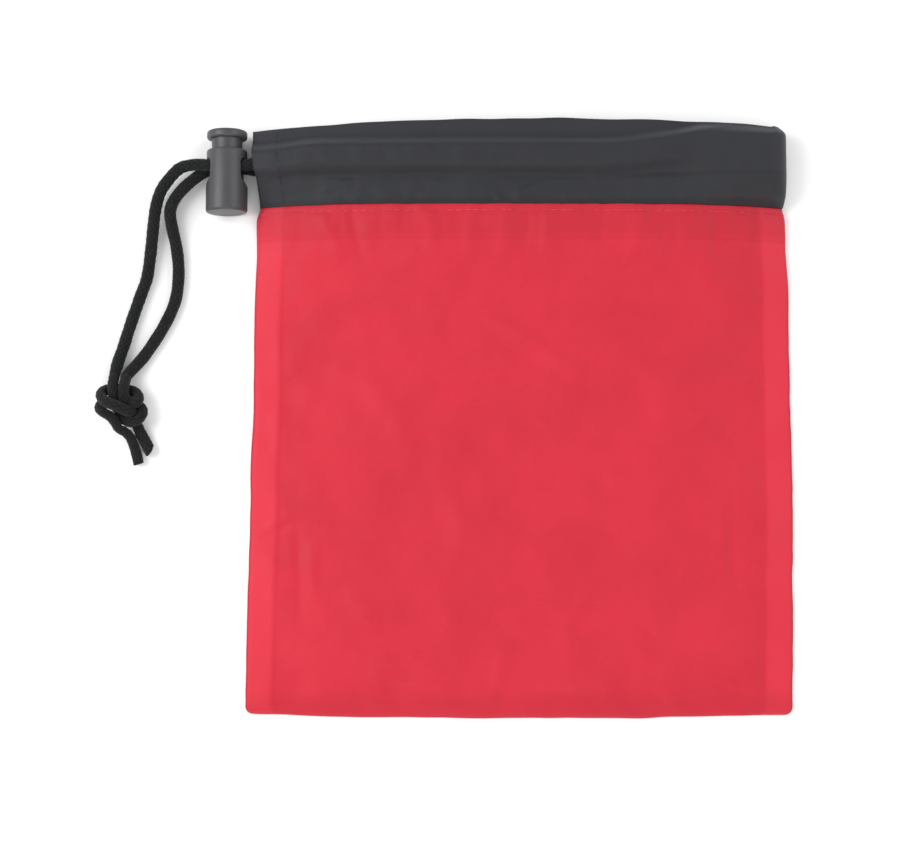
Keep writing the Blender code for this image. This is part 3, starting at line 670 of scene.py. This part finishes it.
def makeCasing(s):
    front = np.linspace(0.0, 1.0, s["stationsFront"], endpoint=False)
    turn = np.linspace(1.0, 2.0, s["stationsTurn"], endpoint=False)
    back = np.linspace(2.0, 3.0, s["stationsBack"])
    paths = np.concatenate([front, turn, back])[:, None]
    v = (0.5 - 0.5 * np.cos(pi * np.linspace(0.0, 1.0, s["layers"]) ** 0.9))[None, :]
    outer = casingPoints(paths, v, True)
    inner = casingPoints(paths, v, False)
    onFront = (paths <= 1.0) * smoothStep((1.0 - paths) / 0.04)
    x, y = outer[:, :, 0], outer[:, :, 1]
    free = smoothStep((y - s["seamY"]) / 1.5) * smoothStep((1.0 - v) / 0.06)
    relief = segmentRelief(x, y, s["creases"])
    relief += 0.16 * waves(x, y, 11, 5.0, 26.0) + 0.10 * waves(x * 1.0, y * 0.35, 12, 3.0, 9.0)
    relief += 0.20 * np.exp(-((y - 64.9) / 1.6) ** 2) * waves(x, y * 0.2, 13, 2.8, 6.5)
    # the hem's turned-in layer stands the cloth up a little as far as its stitching
    hem = smoothStep((casingLeft(v) + s["hemDepth"] + 0.6 - x) / 0.8)
    relief = relief * (1.0 - 0.5 * hem) + 0.16 * hem - 0.16 * np.exp(-((x - casingLeft(v) - s["hemDepth"] + 0.6) / 0.45) ** 2)
    outer[:, :, 2] += onFront * free * relief
    onBack = (paths >= 2.0) * smoothStep((paths - 2.0) / 0.04)
    outer[:, :, 2] += onBack * free * (0.16 + 0.14 * waves(x, y, 14, 5.0, 22.0))
    outer[:, :, 0] += (paths <= 1.0) * 0.22 * waves(y, 0 * y, 15, 4.0, 12.0) * smoothStep((0.05 - paths) / 0.05)
    outer[:, :, 1] += smoothStep((v - 0.6) / 0.4) * 0.25 * waves(paths * 160.0, 0.0 * paths, 16, 9.0, 40.0)
    inner[:, :, 1] += smoothStep((v - 0.6) / 0.4) * 0.25 * waves(paths * 160.0, 0.0 * paths, 16, 9.0, 40.0)
    # cloth rolls over at the top fold and in at the seam
    fold = []
    for angle in (0.22, 0.5, 0.78):
        top = 0.5 * (outer[:, -1] + inner[:, -1]) + 0.5 * (outer[:, -1] - inner[:, -1]) * cos(angle * pi)
        top[:, 1] += 0.45 * sin(angle * pi)
        fold.append(top[:, None, :])
    tuckOut = outer[:, :1].copy()
    tuckOut[:, :, 1] -= 0.02
    tuckOut[:, :, 2] += 0.24 * (inner[:, :1, 2] - outer[:, :1, 2])
    ring = np.concatenate([tuckOut, outer] + fold + [inner[:, ::-1]], 1)
    # the hem: both ends turn in and run back inside the channel
    middle = 0.5 * (outer + inner)
    def hemRings(at, steps):
        rings = []
        for depth, inset in steps:
            p = at(depth)
            o, i = casingPoints(p, v, True), casingPoints(p, v, False)
            core = 0.5 * (o + i)
            thick = np.linalg.norm(o - i, axis=-1, keepdims=True)
            shrink = 1.0 - 2.0 * inset / thick
            o, i = core + (o - core) * shrink, core + (i - core) * shrink
            o[:, :, 0] = casingPoints(p, v, True)[:, :, 0]
            tops = [0.5 * (o[:, -1:] + i[:, -1:]) + 0.5 * (o[:, -1:] - i[:, -1:]) * cos(a * pi) for a in (0.22, 0.5, 0.78)]
            for row in [o, i] + tops:
                row[:, :, 1] = np.minimum(row[:, :, 1], o[:, -1:, 1] - inset)
                row[:, :, 1] = np.maximum(row[:, :, 1], s["seamY"] + s["seamGap"] + inset * 0.8)
            tuck = o[:, :1].copy()
            tuck[:, :, 2] += 0.24 * (i[:, :1, 2] - o[:, :1, 2])
            rings.append(np.concatenate([tuck, o] + tops + [i[:, ::-1]], 1))
        return np.concatenate(rings)
    reach = s["hemDepth"] / 158.0
    steps = [(reach, 0.46), (reach * 0.6, 0.46), (reach * 0.25, 0.45), (0.004, 0.42), (0.0008, 0.30)]
    frontHem = hemRings(lambda depth: np.full((1, 1), depth), steps)
    backHem = hemRings(lambda depth: np.full((1, 1), 3.0 - depth), steps[::-1])
    ring = np.concatenate([frontHem, ring, backHem])
    ring[:, :, 2] = np.maximum(ring[:, :, 2], 0.02)
    mesh = meshFromGrid("casingCloth", ring * mm)
    flatX, flatY = ring[:, :, 0], ring[:, :, 1]
    # painted light: a lighter band just below the top fold and at the hem end
    addAttribute(mesh, "marginLight", 0.8 * np.exp(-((flatY - 86.5) / 2.5) ** 2) + 0.35 * smoothStep((-71.0 - flatX) / 1.0))
    addAttribute(mesh, "shade", 0.9 * np.exp(-((flatY - 64.0) / 1.1) ** 2) + 0.6 * np.exp(-((flatY - 72.4) / 0.6) ** 2))
    weldAndTurnOut(mesh)
    item = makeObject("casingCloth", mesh, blackNylon)
    wall = item.modifiers.new("cloth", "SOLIDIFY")
    wall.thickness = s["wall"] * mm
    wall.offset = -1.0
    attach(item, "pouch")
    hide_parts("casing")
    return outer


casingOuter = makeCasing(casing)
print("casing is folded and hemmed")

# pouch body

body = {
    "bottomY": -88.85, "riseLeft": 1.2, "riseRight": 0.9, "cornerRadius": 2.5,
    "left": [(-88.9, -81.5), (-70.0, -81.2), (-24.0, -80.3), (36.0, -79.4), (60.0, -79.2), (63.5, -78.1)],
    "rightSide": [(-88.9, 80.6), (-54.0, 81.3), (-24.0, 81.5), (36.0, 81.1), (60.0, 80.4), (63.5, 79.6)],
    "height": [(-88.9, 1.4), (-84.0, 2.2), (-72.0, 3.9), (-60.0, 4.6), (10.0, 4.8), (40.0, 6.2), (63.5, 10.4)],
    "edgeThickness": 1.4, "edgeRadius": 1.5, "wall": 0.20,
    "rows": 165, "frontColumns": 216, "backColumns": 74,
    "topstitchY": 61.5, "allowanceY": 53.6, "sideMargin": 8.6,
    # folds as (x1, y1, x2, y2, width, height): from the seam down, then the long creases and bottom puckers
    "folds": [
        (-60, 64, -52, 42, 2.2, 0.55), (-51, 64, -46, 44, 1.8, -0.50), (-28, 65, -25, 44, 2.4, 0.50),
        (-20, 64, -17, 47, 1.7, -0.35), (-4, 66, -6, 42, 2.4, 0.55), (3, 65, 1, 47, 1.6, -0.40),
        (9, 65, 7, 45, 2.0, 0.50), (22, 64, 24, 48, 2.2, -0.35), (36, 65, 33, 42, 2.3, 0.55),
        (43, 64, 42, 48, 1.6, -0.35), (52, 65, 47, 43, 2.2, 0.55), (60, 64, 57, 45, 1.8, -0.45),
        (67, 64, 68, 47, 2.0, 0.40), (-70, 64, -69, 44, 2.0, 0.40),
        (-14, 32, 24, 11, 2.6, 0.75), (-10, 26, 18, 8, 2.2, -0.40), (-81, -38, -64, -29, 1.3, -0.55),
        (-78, -34, -62, -27, 1.6, 0.35), (-66, -30, -65, -64, 1.8, -0.50), (-62, -34, -61, -60, 2.0, 0.40),
        (63, -20, 63.5, -58, 1.8, -0.45), (59, -26, 59, -54, 2.2, 0.35), (-10, -88, -2, -62, 2.0, 0.50),
        (11, -66, 22, -48, 2.2, 0.50), (-48, 18, -30, -12, 4.0, 0.45), (38, 20, 50, -18, 4.0, 0.45),
        (-26, -8, -12, -44, 4.5, 0.50), (20, -10, 30, -46, 4.5, -0.45), (-52, -48, -36, -76, 3.2, 0.45),
        (38, -52, 48, -78, 3.0, 0.40), (-74, 20, -71, -20, 3.0, 0.30), (72, 30, 74, -14, 3.0, 0.30),
        (-42, -79.5, -24, -81.5, 1.1, -0.50), (-25, -81.8, -6, -80.0, 1.2, 0.45), (0, -80.5, 24, -82.5, 1.2, -0.50),
        (41, -82.8, 54, -80.6, 1.1, 0.45), (-66, -82.5, -48, -80.4, 1.1, 0.35), (58, -80.5, 72, -82.5, 1.1, -0.35),
    ],
}


def bodyHeight(x, y, u, aside, s):
    # top surface of the front layer: crown, seam rise, allowances, folds and puckers
    crown = 1.0 - np.abs(2.0 * u - 1.0) ** 3
    height = mix(s["edgeThickness"], along(s["height"], y), crown)
    seamHeight = frontInnerZ(x, np.full_like(x, casing["seamY"])) + 0.95
    height = mix(height, np.maximum(seamHeight, s["edgeThickness"]), smoothStep((y - 22.0) / (casing["seamY"] - 22.0)))
    inner = smoothStep((aside - 1.5) / 6.0) * smoothStep((y - s["bottomY"] - 1.0) / 4.0)
    relief = segmentRelief(x, y, s["folds"])
    relief += 0.34 * waves(x, y, 21, 18.0, 70.0) + 0.13 * waves(x, y, 22, 6.0, 18.0)
    ridged = np.abs(waves(x, y, 23, 14.0, 44.0))
    relief += 0.26 * (0.4 - ridged) * smoothStep((60.0 - y) / 10.0)
    underSeam = np.exp(-((y - 62.0) / 7.0) ** 2)
    relief += underSeam * 0.24 * waves(x, y * 0.12, 24, 3.0, 7.5)
    bottomFade = np.exp(-((y - s["bottomY"] - 5.0) / 7.0) ** 2)
    relief += bottomFade * 0.34 * waves(x, y * 0.25, 25, 7.0, 16.0)
    sideFade = np.exp(-((aside - 7.0) / 4.5) ** 2)
    relief += sideFade * 0.16 * waves(x * 0.25, y, 26, 6.0, 15.0)
    height = height + inner * relief
    # seam allowances lie under the cloth along the two sides, the bottom and the seam
    height += 0.28 * smoothStep((s["sideMargin"] - aside) / 1.0)
    height += 0.32 * smoothStep((y - s["allowanceY"] - 0.25 * waves(x, 0 * x, 27, 8.0, 30.0)) / 0.9)
    groove = np.exp(-((y - s["topstitchY"]) / 0.45) ** 2)
    height -= groove * (0.20 + 0.05 * np.cos(2 * pi * x / 2.6))
    return height


def makeBody(s):
    low = np.array([0.0, 0.12, 0.32, 0.62, 1.0, 1.45, 2.0, 2.7, 3.5])
    rise = np.linspace(4.3, casing["seamY"] - 0.35 - s["bottomY"], s["rows"])
    ys = s["bottomY"] + np.concatenate([low, rise])
    roll = [(0.16, 0.06), (0.30, 0.24), (0.34, 0.60)]      # (further up, down) at the seam
    ys = np.concatenate([ys, ys[-1] + np.array([row[0] for row in roll])])
    drop = np.concatenate([np.zeros(len(ys) - len(roll)), [row[1] for row in roll]])
    above = np.minimum(ys, casing["seamY"]) - s["bottomY"]
    short = np.maximum(0.0, s["cornerRadius"] - above)
    inset = s["cornerRadius"] - np.sqrt(s["cornerRadius"] ** 2 - short ** 2)
    wobble = smoothStep(above / 5.0) * smoothStep((60.0 - ys) / 6.0)
    left = along(s["left"], ys) + inset + 0.22 * wobble * waves(ys, 0 * ys, 31, 6.0, 40.0)
    right = along(s["rightSide"], ys) - inset + 0.20 * wobble * waves(ys, 0 * ys, 32, 6.0, 40.0)

    def spread(count):
        # columns across, close together round the two edges
        t = np.linspace(-1.0, 1.0, count)
        edge = 0.985 + 0.015 * np.sin(np.linspace(0.0, 0.5 * pi, 9))
        core = np.linspace(-0.985, 0.985, count - 16)
        whole = np.concatenate([-edge[::-1][:-1], core, edge[1:]])
        return 0.5 + 0.5 * whole

    def layer(u, top):
        u = u[None, :]
        x = mix(left[:, None], right[:, None], u)
        aside = np.minimum(x - left[:, None], right[:, None] - x)
        bend = mix(s["riseLeft"], s["riseRight"], u) * (2.0 * u - 1.0) ** 2
        fall = (1.0 - (ys[:, None] - s["bottomY"]) / (casing["seamY"] - s["bottomY"])) ** 3
        y = ys[:, None] + bend * fall + 0.18 * fall * waves(x, 0 * x, 33, 9.0, 40.0)
        edge = np.sqrt(1.0 - (1.0 - np.clip(aside / s["edgeRadius"], 0.0, 1.0)) ** 2)
        edge = edge * np.sqrt(1.0 - (1.0 - np.clip(above[:, None] / s["edgeRadius"], 0.0, 1.0)) ** 2)
        half = 0.5 * s["edgeThickness"]
        if top:
            z = mix(half, bodyHeight(x, y, u, aside, s), edge) - drop[:, None] * edge
        else:
            under = 0.20 + 0.14 * waves(x, y, 34, 9.0, 40.0) + 0.10 * np.exp(-((y - s["topstitchY"]) / 0.5) ** 2)
            z = mix(half, np.maximum(under, 0.04), edge) + drop[:, None] * edge
        return np.stack([x, y, z], -1), np.broadcast_to(aside, x.shape)

    frontU, backU = spread(s["frontColumns"]), spread(s["backColumns"])
    top, topAside = layer(frontU, True)
    under, underAside = layer(backU, False)
    grid = np.concatenate([top, under[:, ::-1]], 1)
    aside = np.concatenate([topAside, underAside[:, ::-1]], 1)
    x, y = grid[:, :, 0], grid[:, :, 1]
    onTop = np.concatenate([np.ones(len(frontU)), np.zeros(len(backU))])[None, :]
    mesh = meshFromGrid("pouchCloth", grid * mm)
    # painted light: lighter over the side seam allowances, plus a faint random tone across the sheet
    marginLight = smoothStep((s["sideMargin"] - aside) / 1.4) * 0.9
    marginLight = marginLight * smoothStep((aside - 0.2) / 0.7)
    addAttribute(mesh, "marginLight", marginLight + 0.15 * waves(x, y, 35, 10.0, 50.0))
    shade = 0.85 * smoothStep((0.9 - aside) / 0.8) * smoothStep((aside + 0.2) / 0.3)
    shade = np.maximum(shade, 0.45 * smoothStep((y - s["allowanceY"]) / 1.2) * onTop)
    shade = np.maximum(shade, 0.95 * smoothStep((y - 62.6) / 0.7))
    shade = np.maximum(shade, 0.40 * smoothStep((-79.5 - y) / 6.0))
    shade = np.maximum(shade, 0.50 * np.exp(-((y - s["allowanceY"]) / 0.6) ** 2) * onTop)
    addAttribute(mesh, "shade", shade)
    weldAndTurnOut(mesh)
    item = makeObject("pouchCloth", mesh, redNylon)
    wall = item.modifiers.new("cloth", "SOLIDIFY")
    wall.thickness = s["wall"] * mm
    wall.offset = -1.0
    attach(item, "pouch")
    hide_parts("pouch_body")
    return top, under


bodyTop, bodyUnder = makeBody(body)
print("pouch body is cut and creased")

# stitching

stitching = {"pitch": 2.6, "length": 2.15, "thickness": 0.34, "seed": 5}


def makeStitchTree():
    # stitches along a line of points: evenly spaced, laid along it, a little uneven in size
    tree = bpy.data.node_groups.new("stitchRow", "GeometryNodeTree")
    face = tree.interface
    face.new_socket("Geometry", in_out="INPUT", socket_type="NodeSocketGeometry")
    for name in ("Pitch", "Stitch Length", "Thread Thickness"):
        face.new_socket(name, in_out="INPUT", socket_type="NodeSocketFloat")
    face.new_socket("Seed", in_out="INPUT", socket_type="NodeSocketInt")
    face.new_socket("Thread", in_out="INPUT", socket_type="NodeSocketMaterial")
    face.new_socket("Geometry", in_out="OUTPUT", socket_type="NodeSocketGeometry")
    new, link = tree.nodes.new, tree.links.new
    start, end = new("NodeGroupInput"), new("NodeGroupOutput")
    toCurve, resample = new("GeometryNodeMeshToCurve"), new("GeometryNodeResampleCurve")
    resample.mode = "LENGTH"
    ball = new("GeometryNodeMeshUVSphere")
    ball.inputs["Segments"].default_value = 8
    ball.inputs["Rings"].default_value = 7
    ball.inputs["Radius"].default_value = 0.5
    size = new("ShaderNodeCombineXYZ")
    shape = new("GeometryNodeTransform")
    tangent, align = new("GeometryNodeInputTangent"), new("FunctionNodeAlignRotationToVector")
    align.axis = "X"
    uneven = new("FunctionNodeRandomValue")
    uneven.data_type = "FLOAT"
    uneven.inputs[2].default_value = 0.88
    uneven.inputs[3].default_value = 1.06
    place, real = new("GeometryNodeInstanceOnPoints"), new("GeometryNodeRealizeInstances")
    smooth, thread = new("GeometryNodeSetShadeSmooth"), new("GeometryNodeSetMaterial")
    link(start.outputs["Geometry"], toCurve.inputs["Mesh"])
    link(toCurve.outputs["Curve"], resample.inputs["Curve"])
    link(start.outputs["Pitch"], resample.inputs["Length"])
    link(start.outputs["Stitch Length"], size.inputs["X"])
    link(start.outputs["Thread Thickness"], size.inputs["Y"])
    link(start.outputs["Thread Thickness"], size.inputs["Z"])
    link(ball.outputs["Mesh"], shape.inputs["Geometry"])
    link(size.outputs["Vector"], shape.inputs["Scale"])
    link(tangent.outputs["Tangent"], align.inputs["Vector"])
    link(start.outputs["Seed"], uneven.inputs["Seed"])
    link(resample.outputs["Curve"], place.inputs["Points"])
    link(shape.outputs["Geometry"], place.inputs["Instance"])
    link(align.outputs["Rotation"], place.inputs["Rotation"])
    link(uneven.outputs[1], place.inputs["Scale"])
    link(place.outputs["Instances"], real.inputs["Geometry"])
    link(real.outputs["Geometry"], smooth.inputs["Geometry"])
    link(smooth.outputs["Geometry"], thread.inputs["Geometry"])
    link(start.outputs["Thread"], thread.inputs["Material"])
    link(thread.outputs["Geometry"], end.inputs["Geometry"])
    return tree


stitchTree = makeStitchTree()


def makeStitches(name, lines, s, material):
    mesh = bpy.data.meshes.new(name + "Line")
    points = np.concatenate(lines) * mm
    edges, first = [], 0
    for line in lines:
        edges += [(first + k, first + k + 1) for k in range(len(line) - 1)]
        first += len(line)
    mesh.from_pydata(points.tolist(), edges, [])
    guide = makeObject(name + "Guide", mesh, None)
    rule = guide.modifiers.new("stitches", "NODES")
    rule.node_group = stitchTree
    values = {"Pitch": s["pitch"] * mm, "Stitch Length": s["length"] * mm,
              "Thread Thickness": s["thickness"] * mm, "Seed": s["seed"], "Thread": material}
    for socket in stitchTree.interface.items_tree:
        if socket.in_out == "INPUT" and socket.name in values:
            rule[socket.identifier] = values[socket.name]
    depsgraph = bpy.context.evaluated_depsgraph_get()
    result = bpy.data.meshes.new_from_object(guide.evaluated_get(depsgraph), depsgraph=depsgraph)
    result.name = name
    bpy.data.objects.remove(guide, do_unlink=True)
    item = bpy.data.objects.new(name, result)
    bpy.context.scene.collection.objects.link(item)
    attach(item, "pouch")
    return item


def lineOn(surface, y=None, x=None, lift=0.08, low=-1e9, high=1e9):
    # a line over a surface's own points, at one y or at one x
    points = surface.reshape(-1, 3)
    if y is not None:
        row = np.argmin(np.abs(np.median(surface[:, :, 1], axis=1) - y))
        line = surface[row].copy()
        line[:, 1] = y
        line = line[(line[:, 0] > low) & (line[:, 0] < high)]
    else:
        nearest = np.argmin(np.abs(surface[:, :, 0] - x(surface[:, :, 1])), axis=0)
        line = surface[nearest, np.arange(surface.shape[1])].copy()
        line[:, 0] = x(line[:, 1])
        line = line[(line[:, 1] > low) & (line[:, 1] < high)]
    line[:, 2] += lift
    return line


topLine = lineOn(bodyTop, y=body["topstitchY"], low=-77.6, high=79.2, lift=0.10)
underLine = lineOn(bodyUnder, y=body["topstitchY"], low=-77.4, high=79.0, lift=-0.10)
underLine[:, 2] = np.maximum(underLine[:, 2], 0.17)
makeStitches("seamTopstitch", [topLine, underLine], stitching, redThread)


def hemX(y):
    v = (y - casing["seamY"]) / (casing["topLeft"] - casing["seamY"])
    return casingLeft(v) + casing["hemDepth"] - 0.6


stations = casing["stationsFront"]
frontPart = casingOuter[: stations // 2]
backPart = casingOuter[-casing["stationsBack"] // 2:]
hemFront = lineOn(frontPart, x=hemX, low=64.6, high=85.0, lift=0.06)
hemBack = lineOn(backPart, x=hemX, low=64.6, high=85.0, lift=-0.02)
hemBack[:, 2] = np.maximum(hemBack[:, 2], 0.17)
makeStitches("hemStitches", [hemFront, hemBack], stitching, blackThread)
print("stitches are sewn")

# cord lock


def copyNode(node, name, material, sharp=38.0):
    # a smooth-shaded copy of a CAD piece, its loose triangles merged
    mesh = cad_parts[node].data.copy()
    mesh.name = name
    mesh.materials.clear()
    shape = bmesh.new()
    shape.from_mesh(mesh)
    bmesh.ops.remove_doubles(shape, verts=shape.verts, dist=0.002 * mm)
    bmesh.ops.dissolve_limit(shape, angle_limit=radians(0.5), verts=shape.verts, edges=shape.edges)
    bmesh.ops.triangulate(shape, faces=shape.faces)
    for edge in shape.edges:
        edge.smooth = not (len(edge.link_faces) == 2 and edge.calc_face_angle() > radians(sharp))
    for face in shape.faces:
        face.smooth = True
    shape.to_mesh(mesh)
    shape.free()
    item = makeObject(name, mesh, material)
    return item


def makeLock():
    barrel = copyNode("cord_lock_barrel", "lockBarrel", plastic)
    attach(barrel, "lock")
    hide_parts("cord_lock_barrel")
    plunger = copyNode("cord_lock_plunger", "lockPlunger", plastic)
    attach(plunger, "plunger")
    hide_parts("cord_lock_plunger")
    spring = copyNode("cord_lock_spring", "lockSpring", steel)
    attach(spring, "lock")
    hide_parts("cord_lock_spring")
    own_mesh(spring)


makeLock()
print("cord lock is moulded")
